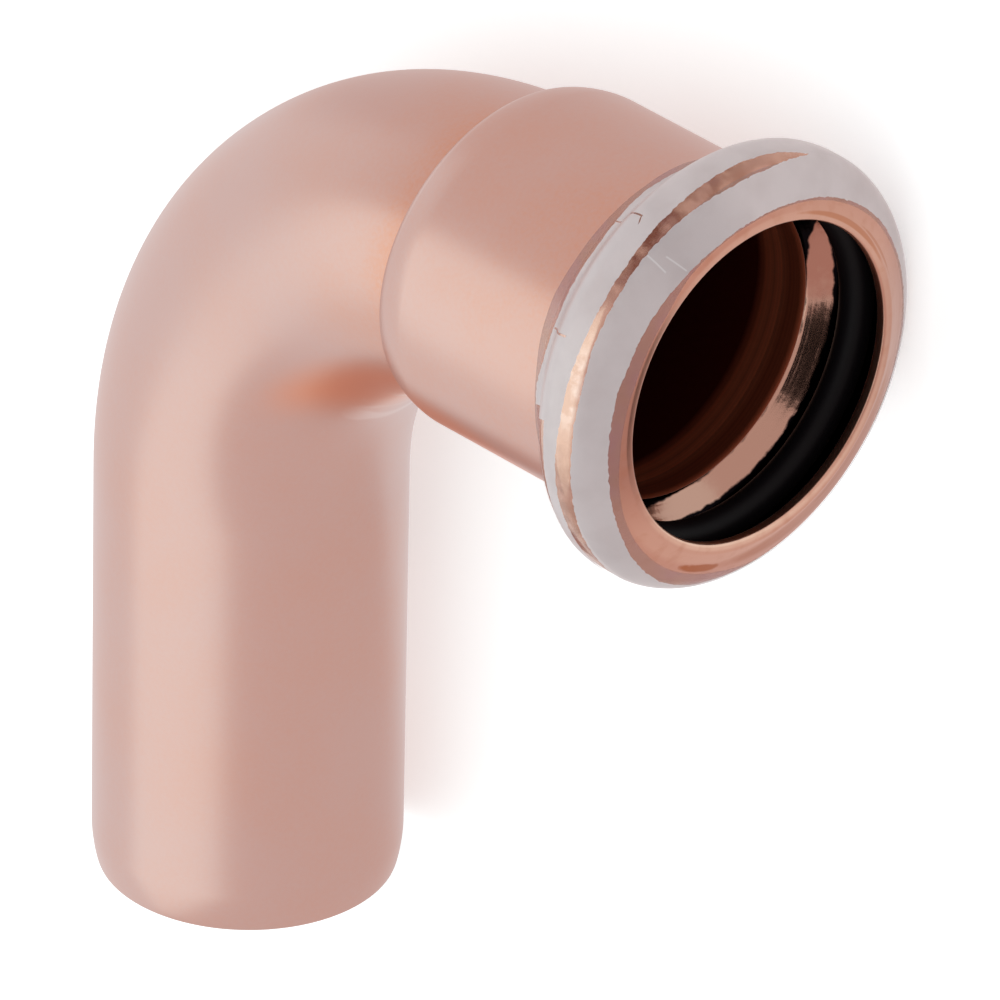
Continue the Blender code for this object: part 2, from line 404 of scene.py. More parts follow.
def bent_bar_tree():
    """A round bar that runs up the leg, round the bend and out along the socket's axis."""
    tree, given = new_tree("Bent bar", {
        "Radius": 0.011, "Leg Length": 0.032, "Bend Radius": 0.028, "Start": 0.0, "End": 0.08,
        "End Rounding": 0.0, "Sides": 48, "Steps": 48,
    })
    radius, leg, bend = given["Radius"], given["Leg Length"], given["Bend Radius"]
    start, rounding = given["Start"], given["End Rounding"]
    line = signal(tree, "GeometryNodeCurvePrimitiveLine", {"End": (0.0, 1.0, 0.0)})
    links = {"Curve": line, "Count": given["Steps"]}
    points = signal(tree, "GeometryNodeResampleCurve", links)
    # The rings are packed towards the cut end, so that its rounded edge gets enough of them.
    packed = signal(tree, "GeometryNodeSplineParameter", output="Factor").math("POWER", 1.6)
    travelled = packed.math("MULTIPLY_ADD", given["End"] - start, start)
    beyond_leg = travelled - leg
    turned = (beyond_leg / bend).larger(0.0).smaller(UP)
    straight = (beyond_leg - bend * UP).larger(0.0)
    along_x = (1.0 - turned.math("COSINE")).math("MULTIPLY_ADD", bend, straight)
    along_y = turned.math("SINE").math("MULTIPLY_ADD", bend, travelled.smaller(leg))
    links = {"Geometry": points, "Position": join(tree, along_x, along_y)}
    path = signal(tree, "GeometryNodeSetPosition", links)
    # A quarter round over the rounding's length: inwards on the bar, outwards where it is
    # negative.
    size = abs(rounding).larger(MERGE)
    left = (travelled / size).math("MULTIPLY_ADD", -1.0, 1.0, use_clamp=True)
    drop = (1.0 - (1.0 - left * left).math("SQRT")) * rounding
    links = {"Resolution": given["Sides"], "Radius": radius}
    bar = signal(tree, "GeometryNodeCurveToMesh", {
        "Curve": path,
        "Profile Curve": signal(tree, "GeometryNodeCurvePrimitiveCircle", links),
        "Scale": 1.0 - drop / radius,
        "Fill Caps": True,
    })
    return end_tree(tree, bar)


def turned_tree():
    """A section turned about the socket's axis. Its X runs outwards, its Y back along the axis."""
    tree, given = new_tree("Turned section", {
        "Section": "Geometry", "Axis Height": 0.06, "Sides": 48,
    })
    # The circle is as thin as a hair, so the section's own distances are its radii.
    links = {"Resolution": given["Sides"], "Radius": MERGE / 10}
    turned = signal(tree, "GeometryNodeCurveToMesh", {
        "Curve": signal(tree, "GeometryNodeCurvePrimitiveCircle", links),
        "Profile Curve": signal(tree, "GeometryNodeMeshToCurve", {"Mesh": given["Section"]}),
    })
    links = {"Geometry": turned, "Distance": MERGE / 2}
    return end_tree(tree, signal(tree, "GeometryNodeTransform", {
        "Geometry": signal(tree, "GeometryNodeMergeByDistance", links),
        "Translation": join(tree, y=given["Axis Height"]),
        "Rotation": (0.0, UP, 0.0),
    }))


def elbow_tree(bar_tree, section_tree):
    """The bent tube, joined to the turned socket and bored through from end to end."""
    tree, given = new_tree("Press fitting elbow", {
        "Socket Section": "Geometry", "Tube Radius": 0.011, "Tube Wall": 0.0015,
        "Leg Length": 0.032, "Bend Radius": 0.028, "End Rounding": 0.0004,
        "Shoulder Start": 0.0247, "Shoulder Slant": 0.0, "Sides": 48, "Steps": 48,
        "Material": "Material",
    })
    leg, bend, rounding = given["Leg Length"], given["Bend Radius"], given["End Rounding"]
    shoulder = given["Shoulder Start"]
    height = leg + bend
    socket = signal(tree, "GeometryNodeGroup", {
        "Section": given["Socket Section"],
        "Axis Height": height,
        "Sides": given["Sides"],
    }, node_tree=section_tree)
    # The shoulder leans: its upper side starts further along the axis than its lower side.
    x, y, _ = split(signal(tree, "GeometryNodeInputPosition"))
    fading = x.ramp(
        shoulder + 4 * MM, shoulder + 12 * MM, given["Shoulder Slant"], 0.0, "SMOOTHSTEP"
    )
    links = {"Geometry": socket, "Offset": join(tree, (y - height) * fading)}
    leaning = signal(tree, "GeometryNodeSetPosition", links)
    # The outer bar stops inside the socket's floor. The bore runs past the floor and the cut end,
    # and flares there, which rounds the inner edge.
    inner = given["Tube Radius"] - given["Tube Wall"]
    bar, bore = [
        signal(tree, "GeometryNodeGroup", {
            "Radius": radius,
            "Leg Length": leg,
            "Bend Radius": bend,
            "Start": start,
            "End": leg + bend * UP + past,
            "End Rounding": edge,
            "Sides": given["Sides"],
            "Steps": given["Steps"],
        }, node_tree=bar_tree)
        for radius, start, past, edge in (
            (given["Tube Radius"], 0.0, -1.0 * MM, rounding),
            (inner, -0.2 * MM, 1.0 * MM, rounding * -0.75),
        )
    ]
    boolean = "GeometryNodeMeshBoolean"
    joined = add_node(tree, boolean, {"Mesh 2": bar}, operation="UNION", solver="MANIFOLD")
    tree.links.new(leaning.output, joined.inputs["Mesh 2"])
    links = {"Mesh 1": Signal(joined.outputs["Mesh"]), "Mesh 2": bore}
    bored = signal(tree, boolean, links, operation="DIFFERENCE", solver="MANIFOLD")
    return finish_tree(tree, bored, given["Material"])


def ring_tree(section_tree):
    """A turned ring whose surface is slightly uneven."""
    tree, given = new_tree("Turned ring", {
        "Section": "Geometry", "Axis Height": 0.06, "Unevenness": 0.0, "Grain": 300.0,
        "Sides": 48, "Material": "Material",
    })
    links = {label: given[label] for label in ("Section", "Axis Height", "Sides")}
    ring = signal(tree, "GeometryNodeGroup", links, node_tree=section_tree)
    links = {"Scale": given["Grain"], "Detail": 2.0}
    grain = signal(tree, "ShaderNodeTexNoise", links, "Fac")
    _, y, z = split(signal(tree, "GeometryNodeInputPosition"))
    outwards = join(tree, y=y - given["Axis Height"], z=z)
    unit = signal(tree, "ShaderNodeVectorMath", {"Vector": outwards}, operation="NORMALIZE")
    links = {"Vector": unit, "Scale": (grain - 0.5) * given["Unevenness"]}
    offset = signal(tree, "ShaderNodeVectorMath", links, operation="SCALE")
    uneven = signal(tree, "GeometryNodeSetPosition", {"Geometry": ring, "Offset": offset})
    return finish_tree(tree, uneven, given["Material"])


def direction(turn):
    """Unit vector of a section, where 0 points along the socket and 90 degrees outwards."""
    return Vector((math.cos(turn), math.sin(turn)))


def arc(centre, radius, start, end, step=math.radians(5)):
    """Points of a round stretch of a section, both ends included."""
    count = max(1, math.ceil(abs(end - start) / step))
    turns = [start + (end - start) * i / count for i in range(count + 1)]
    return [centre + radius * direction(turn) for turn in turns]


class BeadShape:
    """Points and directions that the bead's sections share."""

    def __init__(self):
        settings = bpy.context.scene.press_elbow
        self.size, self.socket = settings.bead, settings.socket
        self.crest_rear = Vector((self.size.crest_rear, self.size.crest_height))
        self.crest_front = Vector((self.size.crest_front, self.size.crest_height))
        self.lip = Vector((
            self.socket.mouth - self.size.lip_round,
            self.size.lip_radius + self.size.lip_round,
        ))
        height = self.socket.radius + self.size.foot_round
        reach = math.cos(self.size.flank) * (self.crest_rear.y - height)
        reach += self.size.crest_round + self.size.foot_round
        self.foot = Vector((self.crest_rear.x - reach / math.sin(self.size.flank), height))
        span = self.lip - self.crest_front
        lean = math.acos((self.size.crest_round - self.size.lip_round) / span.length)
        self.front = math.atan2(span.y, span.x) + lean

    def skin(self, offset):
        """Outside of the bead from its foot to the foremost point of its lip, moved outwards."""
        size = self.size
        return (
            arc(self.foot, size.foot_round - offset, -UP, size.flank - UP)
            + arc(self.crest_rear, size.crest_round + offset, UP + size.flank, UP)
            + arc(self.crest_front, size.crest_round + offset, UP, self.front)
            + arc(self.lip, size.lip_round + offset, self.front, 0)
        )

    def bore_end(self):
        """Where the bore would meet the inner flank, were the corner sharp."""
        slope = direction(self.size.flank)
        roof = self.size.crest_round - self.size.wall
        rear_roof = self.crest_rear + roof * direction(UP + self.size.flank)
        return rear_roof.x - slope.x * (rear_roof.y - self.socket.bore) / slope.y

    def hollow(self):
        """Inside of the bead from the bore to the back of its lip."""
        size = self.size
        roof = size.crest_round - size.wall
        turn = size.bore_round * math.tan(size.flank / 2)
        centre = Vector((self.bore_end() - turn, self.socket.bore + size.bore_round))
        corner = Vector((self.socket.mouth - size.lip_corner, size.lip_radius + size.lip_corner))
        return (
            arc(centre, size.bore_round, -UP, size.flank - UP)
            + arc(self.crest_rear, roof, UP + size.flank, UP)
            + arc(self.crest_front, roof, UP, self.front)
            + arc(self.lip, size.lip_round, self.front - math.pi, -UP)
            + arc(corner, size.lip_corner, -UP, 0)
        )


# How deep the socket's section reaches into the bent tube's wall, so that the two join.
OVERLAP = 0.3 * MM


def shoulder_skin():
    """Outside of the rounded shoulder, from just inside the tube's wall to the socket."""
    settings = bpy.context.scene.press_elbow
    size, tube = settings.socket, settings.tube
    steps = 28
    points = [Vector((size.shoulder_start, tube.radius - OVERLAP))]
    for i in range(1, steps + 1):
        # The points lie closer where the shoulder starts, because it is steepest there.
        along = (1 - math.cos(UP * i / steps)) ** 1.3
        rise = (1 - (1 - along) ** size.shoulder_power) ** (1 / size.shoulder_steepness)
        radius = tube.radius + (size.radius - tube.radius) * rise
        points.append(Vector((size.shoulder_start + size.shoulder_length * along, radius)))
    return points


def straight_run(start, end, radius, steps=12):
    """Points between two places along the axis, without the places themselves."""
    return [Vector((start + (end - start) * i / steps, radius)) for i in range(1, steps)]


def socket_section():
    """The socket's closed section, from the middle of its floor round the lip and back."""
    settings = bpy.context.scene.press_elbow
    size, tube = settings.socket, settings.tube
    bead = BeadShape()
    start = size.shoulder_start
    floor = start + 0.4 * MM
    inner = tube.radius - tube.wall
    stop = start + size.shoulder_length
    bore = [
        Vector((floor, 0)),
        Vector((floor, inner - OVERLAP)),
        Vector((floor + OVERLAP, inner + 0.1 * MM)),
        Vector((stop - 0.9 * MM, tube.radius - OVERLAP)),
        Vector((stop, size.bore)),
    ]
    bore += straight_run(stop, bead.foot.x - 1.0 * MM, size.bore)
    body = straight_run(stop, bead.foot.x, size.radius)
    skin = shoulder_skin() + body + bead.skin(0)
    return bore + bead.hollow() + skin[::-1] + [Vector((start, 0))]


def tidy_points(points):
    """The points without those that lie on the one before."""
    kept = [points[0]]
    for point in points[1:]:
        if (point - kept[-1]).length > 2 * MERGE:
            kept.append(point)
    return kept


def divide(points, step):
    """The points with more put between those that lie further apart than a step."""
    divided = [points[0]]
    for a, b in zip(points, points[1:]):
        count = max(1, round((b - a).length / step))
        divided += [a.lerp(b, i / count) for i in range(1, count + 1)]
    return divided


def cut_short(points, marks, limit):
    """The points and their marks up to the place where the mark reaches a limit."""
    last = next(i for i, mark in enumerate(marks) if mark > limit)
    share = (limit - marks[last - 1]) / (marks[last] - marks[last - 1])
    end = points[last - 1].lerp(points[last], share)
    return list(zip(points[:last], marks[:last])) + [(end, limit)]


def section_object(name, points, closed, marks=None):
    """An object that holds a section as a line of edges, with a mark on each point if given."""
    mesh = bpy.data.meshes.new(name)
    edges = [(i, i + 1) for i in range(len(points) - 1)]
    if closed:
        edges.append((len(points) - 1, 0))
    mesh.from_pydata([(p.y, -p.x, 0.0) for p in points], edges, [])
    for label, values in (marks or {}).items():
        mark = mesh.attributes.new(label, "FLOAT", "POINT")
        mark.data.foreach_set("value", values)
    section = bpy.data.objects.new(name, mesh)
    bpy.context.scene.collection.objects.link(section)
    return section


# Edges that bend by more than this are shaded as sharp ones.
SHARP_ANGLE = math.radians(32)


def grow(obj, tree, values):
    """Runs a Geometry Nodes tree on an object and keeps the result as its own mesh, laid down."""
    modifier = obj.modifiers.new(tree.name, "NODES")
    modifier.node_group = tree
    for item in tree.interface.items_tree:
        if item.item_type == "SOCKET" and item.in_out == "INPUT" and item.name in values:
            modifier[item.identifier] = values[item.name]
    bpy.context.view_layer.update()
    evaluated = obj.evaluated_get(bpy.context.evaluated_depsgraph_get())
    mesh = bpy.data.meshes.new_from_object(evaluated)
    obj.modifiers.remove(modifier)
    line, obj.data = obj.data, mesh
    bpy.data.meshes.remove(line)
    mesh.name = obj.name
    mesh.transform(place())
    mesh.set_sharp_from_angle(angle=SHARP_ANGLE)


def new_material(name):
    """A material with a Principled shader. Gives the material, its tree and the shader."""
    material = bpy.data.materials.new(name)
    material.use_nodes = True
    return material, material.node_tree, material.node_tree.nodes["Principled BSDF"]


# In the tables below, a turn is in degrees round the bead from the photographed side, and lengths
# are in mm.

# How far the copper is shifted towards orange, by the distance along the socket's axis.
WARMTH = (
    (-12, 0), (14, 0), (22, 0.3), (24.5, 0.65), (24.9, 0), (27, 0.1), (33, 0.25), (38, 0.45),
    (50, 0.6),
)
# Turn of the middle of the side where it is shifted.
WARM_SIDE = 30.0
# How much of the crest under the film's gap is stained, and how much of it glints, by turn.
CREST_STAINS = (
    (-180, 0.3), (-30, 0.65), (-20, 0.5), (-8, 0.45), (2, 0.1), (8, 0), (30, 0), (40, 0.45),
    (50, 1.0), (62, 1.1), (70, 0.75), (80, 0.75), (90, 0.55), (105, 0.25), (180, 0.3),
)
CREST_GLINT = ((-180, 0), (2, 0), (10, 0.8), (22, 0.9), (28, 0.3), (36, 0), (180, 0))
# Radii between which the crest's colour sets in, and places on the axis between which the lip's
# does.
CREST_EDGE = (14.8 * MM, 15.4 * MM)
LIP_EDGE = (47.4 * MM, 47.8 * MM)
# Stains on the lip: place and half size, each as turn and radius, and strength.
LIP_STAINS = (
    ((-65.0, 13.62), (8.0, 0.36), 1.0),
    ((-116.0, 13.5), (40.0, 0.95), 0.7),
    ((-132.0, 13.1), (26.0, 0.6), 0.9),
    ((136.0, 12.25), (24.0, 0.2), 0.6),
    ((156.0, 12.6), (12.0, 0.12), 0.5),
)
# Where a painted highlight brightens the lip's inner edge, and where painted shade darkens the lip,
# by turn.
LIP_POLISH = (
    (-180, 0.1), (-135, 0.3), (-100, 0.9), (-60, 1.0), (-38, 0.7), (-25, 0.1), (0, 0), (180, 0.1),
)
LIP_SHADE = (
    (-180, 0.6), (-165, 0.6), (-150, 0.5), (-130, 0.2), (-110, 0), (-38, 0), (-25, 0.3),
    (-12, 0.85), (17, 0.8), (32, 0.6), (45, 0.2), (58, 0), (150, 0.1), (165, 0.5), (180, 0.6),
)
# How much painted light brightens the bore, by the distance along the socket's axis.
BORE_GLOW = (
    (0, 0), (37.9, 0), (38.6, 0.6), (39.2, 1.0), (40.4, 1.0), (41.0, 0.35), (42.5, 0.45),
    (43.6, 0.3), (44.6, 0.12), (50, 0.12),
)
# Radius below which the bead's inner flank gets painted shade and above which it starts to shine,
# by turn, and the radii between which the seal's painted shade ends the shine.
FLANK_START = (
    (-180, 11.5), (-110, 11.5), (-85, 11.6), (-73, 11.95), (-62, 12.8), (0, 12.8), (151, 12.9),
    (160, 11.9), (174, 11.5), (180, 11.5),
)
FLANK_END = (12.9 * MM, 12.8 * MM)


def noise(position, size, detail):
    """A noise whose patches are about a size across."""
    links = {"Vector": position, "Scale": 1 / size, "Detail": detail}
    return signal(position.tree, "ShaderNodeTexNoise", links, "Fac")


def mark(tree, name):
    """A number that the mesh carries on its points."""
    return signal(tree, "ShaderNodeAttribute", output="Fac", attribute_name=name)


def along_axis(table):
    """A table by the distance along the axis, with its mm turned into metres."""
    return [(x * MM, share) for x, share in table]


def stain_mask(turn, radius, centre, half_size):
    """One within an oval on the lip, nothing outside it."""
    across = (turn - centre[0]) / half_size[0]
    out = (radius - centre[1] * MM) / (half_size[1] * MM)
    return (across * across + out * out).ramp(0.6, 1.3, 1.0, 0.0)


def drawn_colour(tree, at):
    """Colour of the tube's and the socket's outside."""
    settings = bpy.context.scene.press_elbow
    finish = settings.finish
    # Cloudy patches about 9 mm across and a fine grain shift the copper a little towards orange.
    uneven = noise(at.vector, 0.3 * MM, 1.0) * 0.5 + noise(at.vector, 9 * MM, 4.0)
    # On one side the bend's end and the socket towards its mouth are more orange.
    along = at.above * -settings.socket.slant + at.x
    side = (at.turn - WARM_SIDE).math("RADIANS").math("COSINE").ramp(0.2, 0.9)
    warmth = along.read(along_axis(WARMTH)) * side * uneven + uneven.ramp(0.6, 1.0, 0.0, 0.2)
    drawn = warmth.blend(finish.copper, finish.copper_warm)
    # In the crook the copper mirrors copper, so it glows orange there.
    past_leg = at.y - settings.tube.leg
    reach = join(tree, at.x - settings.tube.bend, past_leg).length()
    crook = reach.ramp(22.8 * MM, 19.8 * MM, shape="SMOOTHSTEP")
    crook = crook * past_leg.ramp(10.5 * MM, 15.5 * MM, shape="SMOOTHSTEP")
    drawn = crook.blend(drawn, finish.copper_crook)
    # The bend's tight side wrinkled a little, and the wrinkles get a pale painted highlight.
    wrinkles = noise(join(tree, at.x, reach), 1.3 * MM, 1.0).ramp(0.5, 0.62)
    tight = reach.ramp(18.3 * MM, 17.4 * MM) * abs(past_leg - 12.5 * MM).ramp(4 * MM, 2 * MM)
    bloom = wrinkles * tight * 0.35
    # The shoulder's first edge gets a pale painted highlight too, on its upper side.
    edge = abs(along - 25.0 * MM).ramp(0.6 * MM, 0.15 * MM)
    edge = edge * at.above.ramp(0.0, 8 * MM, 0.0, 0.6)
    return bloom.larger(edge).blend(drawn, finish.copper_bloom)


def bead_colour(at, mottle, crest, front):
    """Colour of the rolled bead: its crest, its lip, and its inner flank."""
    finish = bpy.context.scene.press_elbow.finish
    # The crest's burnished copper is partly lightened as a painted highlight.
    bead = crest.blend(finish.copper_rolled, finish.copper_crest)
    glint = crest * mottle.ramp(0.42, 0.58, 0.1, 1.0) * at.turn.read(CREST_GLINT)
    bead = glint.blend(bead, finish.copper_glint)
    # The crest has brown stains. Parts of the lip get painted shade, and its inner edge a painted
    # highlight.
    stained = crest * at.turn.read(CREST_STAINS) * mottle.ramp(0.35, 0.6, 0.55, 1.0)
    bead = stained.blend(bead, finish.copper_stain)
    bead = (front * at.turn.read(LIP_SHADE)).blend(bead, finish.copper_handled)
    # Painted highlight on the lip's inner edge, in the crest's colour.
    near_edge = at.radius.ramp(12.3 * MM, 12.0 * MM)
    polished = near_edge.larger(at.radius.ramp(13.5 * MM, 13.1 * MM, 0.0, 0.35))
    polished = front * polished * at.turn.read(LIP_POLISH)
    bead = polished.blend(bead, finish.copper_crest)
    # The mottle makes the stains' edges ragged, and shifts their middles by some -6 degrees.
    ragged_turn = mottle * 12.0 + at.turn
    tarnished = mottle.ramp(0.5, 0.8, 0.0, 0.3)
    for centre, half_size, strength in LIP_STAINS:
        mask = stain_mask(ragged_turn, at.radius, centre, half_size)
        tarnished = tarnished.larger(mask * strength)
    bead = (tarnished * front).blend(bead, finish.copper_tarnish)
    # The bead's inner flank shines only between its rounded start and the seal. The rest of the
    # groove gets painted shade, as dark as the rubber.
    groove = mark(mottle.tree, "groove")
    ragged = mottle * (0.4 * MM) + at.radius
    start = at.turn.read([(degrees, radius * MM) for degrees, radius in FLANK_START])
    shining = (ragged - start).ramp(-0.05 * MM, 0.05 * MM) * ragged.ramp(*FLANK_END)
    # The flank's upper part gets painted shade.
    upper = (mottle * (6 * MM) + at.above).ramp(1 * MM, 4 * MM)
    bead = groove.blend(bead, upper.blend(finish.copper_flank, finish.copper_handled))
    return (groove * (1.0 - shining)).blend(bead, finish.rubber)


def bore_colour(at, rings):
    """Colour of the inside: sooty copper, with painted light in a ring part way along the bore and
    more faintly nearer the mouth.
    """
    finish = bpy.context.scene.press_elbow.finish
    worn = rings.ramp(0.4, 0.7, 0.0, 0.6).blend(finish.copper_dull, finish.copper_stain)
    return at.x.read(along_axis(BORE_GLOW)).blend(finish.copper_soot, worn)


def copper_material():
    """Drawn copper tube, annealed and pickled: satin, with a bead that its rollers burnished."""
    material, tree, shader = new_material("pickled_copper")
    at = OwnPlane(tree)
    mottle = noise(at.vector, 1.1 * MM, 6.0)
    # Rolling left rings on the bead and in the bore.
    rings = noise(join(tree, at.x, at.radius), 0.5 * MM, 2.0)
    crest = at.radius.ramp(*CREST_EDGE)
    front = at.x.ramp(*LIP_EDGE)
    rolled, inside = mark(tree, "rolled"), mark(tree, "inside")
    outer = rolled.blend(drawn_colour(tree, at), bead_colour(at, mottle, crest, front))
    tint = inside.blend(outer, bore_colour(at, rings))
    # The bead is burnished apart from its lip, and the inside is the roughest.
    burnished = rolled.math("SUBTRACT", front * (1.0 - crest), use_clamp=True)
    roughness = inside * 0.3 + burnished.ramp(0.0, 1.0, 0.3, 0.13)
    bump = signal(tree, "ShaderNodeBump", {
        "Strength": rolled * 0.5,
        "Distance": 0.03 * MM,
        "Height": rings + mottle,
    })
    fill(shader, {"Base Color": tint, "Metallic": 1.0, "Roughness": roughness, "Normal": bump})
    return material


def rubber_material():
    """Moulded seal rubber: near black, with a soft sheen from its lubricant."""
    finish = bpy.context.scene.press_elbow.finish
    material, _, shader = new_material("seal_rubber")
    fill(shader, {
        "Base Color": (*finish.rubber, 1.0), "Roughness": 0.5, "Specular IOR Level": 0.14,
    })
    return material


# Borders of the print and the film's two edges: turn, and place along the bead's skin from the
# crest's front end.
REAR_BAND_REAR = (
    (-180, -6.35), (5, -6.35), (15, -6.1), (25, -5.95), (55, -5.95), (65, -6.2), (75, -6.35),
    (180, -6.35),
)
REAR_BAND_FRONT = (
    (-180, 0.9), (-60, -0.3), (-13, -0.16), (-3, 0.01), (7, 0.28), (19, 0.36), (30, 0.53),
    (46, 0.65), (76, 0.6), (92, 0.62), (103, 0.8), (113, 1.15), (180, 0.9),
)
FRONT_BAND_REAR = (
    (-180, 1.2), (-60, 0.4), (-25, 0.86), (-11, 1.1), (-1, 1.27), (19, 1.4), (29, 1.27),
    (47, 1.28), (57, 1.35), (68, 1.53), (82, 1.84), (96, 1.78), (104, 1.5), (113, 1.12),
    (119, 1.0), (150, 1.0), (180, 1.2),
)
FRONT_BAND_FRONT = (
    (-180, 2.7), (-150, 1.6), (-80, 1.75), (-60, 2.05), (-46, 2.67), (-31, 3.24), (-19, 3.55),
    (-8, 3.72), (3, 3.81), (16, 3.87), (27, 4.05), (36, 4.1), (47, 4.28), (57, 4.45), (72, 4.6),
    (86, 4.55), (100, 4.4), (111, 4.2), (124, 3.87), (136, 3.54), (148, 3.2), (162, 2.95),
    (180, 2.7),
)
FILM_FRONT = (
    (-180, 2.9), (-150, 2.8), (-140, 2.3), (-105, 2.1), (-92, 2.4), (-80, 2.9), (-60, 3.2),
    (-27, 3.95), (-4, 4.55), (20, 4.9), (45, 4.95), (58, 4.65), (85, 4.65), (100, 4.5),
    (125, 4.05), (150, 3.4), (165, 3.1), (180, 2.9),
)
FILM_REAR = (
    (-180, -6.9), (-60, -6.5), (-2, -6.45), (9, -6.55), (21, -6.87), (33, -7.03), (45, -6.87),
    (60, -6.8), (78, -6.75), (93, -6.9), (180, -6.9),
)
# How much of the front band's print is left without painted shade, by turn, and the rear band's all
# over.
PRINT_THICKNESS = (
    (-180, 0.95), (-60, 0.6), (-40, 0.25), (-15, 0.45), (0, 0.38), (45, 0.35), (60, 0.05),
    (75, 0.3), (88, 0.9), (180, 0.95),
)
REAR_THICKNESS = 0.8
# The two bands part here along the skin.
BANDS_PART = 0.95
# Scratches through the print and folds that catch the light, each from one end to the other as
# turn and place along the skin, with its width.
SCRATCHES = (
    ((62.1, -6.2), (61.7, -0.8), 0.14),
    ((61.8, -0.95), (59.4, -0.6), 0.22),
    ((24.9, -5.9), (27.2, -1.0), 0.16),
)
CREASES = (
    ((54.0, 1.35), (53.7, 3.2), 0.14),
    ((56.9, 2.4), (58.3, 4.3), 0.14),
)
# Radius of the film, which turns degrees round it into mm across it.
FILM_RADIUS = 15.5


def line_mask(along, turn, start, end, width):
    """One on a short straight line over the film, nothing beside it."""
    slope = (end[0] - start[0]) / (end[1] - start[1])
    off = turn - ((along - start[1]) * slope + start[0])
    off = abs(off) * math.radians(FILM_RADIUS)
    middle = (start[1] + end[1]) / 2
    half = abs(end[1] - middle)
    ends = abs(along - middle).ramp(half - 0.1, half, 1.0, 0.0)
    return off.ramp(0.3 * width, 0.6 * width, 1.0, 0.0) * ends


def film_material():
    """Clear shrink film, glossy, with two bands of white ink under its surface."""
    finish = bpy.context.scene.press_elbow.finish
    material, tree, shader = new_material("printed_shrink_film")
    at = OwnPlane(tree)
    turn, along = at.turn, mark(tree, "along")
    # The ink's borders are ragged by a tenth of a millimetre.
    ragged = noise(at.vector, 0.5 * MM, 3.0) * 0.3 + along - 0.15

    def between(low, high):
        return (ragged > low) * (ragged < high)

    front_band = between(turn.read(FRONT_BAND_REAR), turn.read(FRONT_BAND_FRONT))
    rear_band = between(turn.read(REAR_BAND_REAR), turn.read(REAR_BAND_FRONT))
    # The rear band's ends don't meet: between them only its front strip is printed.
    open_stretch = (turn < ragged * 1.2 + 6.6) * (turn > -70.0) * between(-7.0, -1.2)
    rear_band = rear_band.math("SUBTRACT", open_stretch, use_clamp=True)
    ink = front_band.math("ADD", rear_band, use_clamp=True)
    for scratch in SCRATCHES:
        ink = ink * (1.0 - line_mask(along, turn, *scratch) * 0.9)
    first_crease, second_crease = [line_mask(along, turn, *crease) for crease in CREASES]
    clouds = noise(at.vector, 2.5 * MM, 4.0)
    # Painted shade darkens the print by turn on the front band and evenly on the rear band.
    thick = (along > BANDS_PART).ramp(0.0, 1.0, REAR_THICKNESS, turn.read(PRINT_THICKNESS))
    white = thick.blend(finish.print_thin, finish.print)
    white = clouds.ramp(0.4, 0.7, 0.0, 0.12).blend(white, finish.film)
    white = (first_crease.larger(second_crease) * 0.4).blend(white, finish.crease)
    clear = clouds.ramp(0.45, 0.6).blend(finish.film, finish.film_mauve)
    # The clear film is cloudier in front of the print and behind it than between the two bands.
    beyond_print = abs(along + 1.6) > 3.2
    cover = beyond_print.ramp(0.0, 1.0, 0.15, 0.45).larger(ink * 0.95)
    # Only the outer skin shows, and only from outside, so that the skins don't shade each other.
    from_outside = 1.0 - signal(tree, "ShaderNodeNewGeometry", output="Backfacing")
    cover = cover * (from_outside * mark(tree, "layer"))
    fill(shader, {"Base Color": ink.blend(clear, white), "Roughness": 0.28, "Alpha": cover})
    return material


def off_centre_line(points, tube):
    """Distance of points in the own plane from the tube's centre line, and their way out of it."""
    x, y, z = points.T
    from_bend = np.hypot(x - tube.bend, y - tube.leg)
    on_leg, on_socket = y < tube.leg, x > tube.bend
    flat = np.where(on_leg, x, np.where(on_socket, y - tube.leg - tube.bend, from_bend - tube.bend))
    safe = np.maximum(from_bend, MERGE)
    out_x = np.where(on_leg, 1.0, np.where(on_socket, 0.0, (x - tube.bend) / safe))
    out_y = np.where(on_leg, 0.0, np.where(on_socket, 1.0, (y - tube.leg) / safe))
    away = np.stack([flat * out_x, flat * out_y, z], 1)
    return np.hypot(flat, z), away


def read_rows(items, label, width):
    """A property of every item, as the rows of an array."""
    values = np.empty(len(items) * width)
    items.foreach_get(label, values)
    return values.reshape(-1, width)


def move(points, matrix):
    """The points moved by a matrix."""
    return points @ matrix[:3, :3].T + matrix[:3, 3]


# Faces whose normal leans inwards by more than this belong to the inside.
INWARDS = -0.2


def mark_copper(obj):
    """Writes where the copper is the dull inside, the burnished bead, or the bead's groove."""
    mesh = obj.data
    back = np.array(place().inverted())
    points = move(read_rows(mesh.vertices, "co", 3), back)
    normals = read_rows(mesh.vertices, "normal", 3) @ back[:3, :3].T
    distance, away = off_centre_line(points, bpy.context.scene.press_elbow.tube)
    inwards = (normals * away).sum(1) / np.maximum(distance, MERGE) < INWARDS
    bead, x = BeadShape(), points[:, 0]
    inside = inwards & (x < bead.bore_end() + 0.1 * MM)
    rolled = (x > bead.foot.x + MERGE) & ~inside
    groove = rolled & inwards & (x < bead.crest_front.x)
    for label, marked in (("inside", inside), ("rolled", rolled), ("groove", groove)):
        values = mesh.attributes.new(label, "FLOAT", "POINT")
        values.data.foreach_set("value", marked.astype(np.float32))


# Between these places along the skin, the film isn't moved when its edges are drawn back.
FILM_KEPT = (-5.0, 1.2)


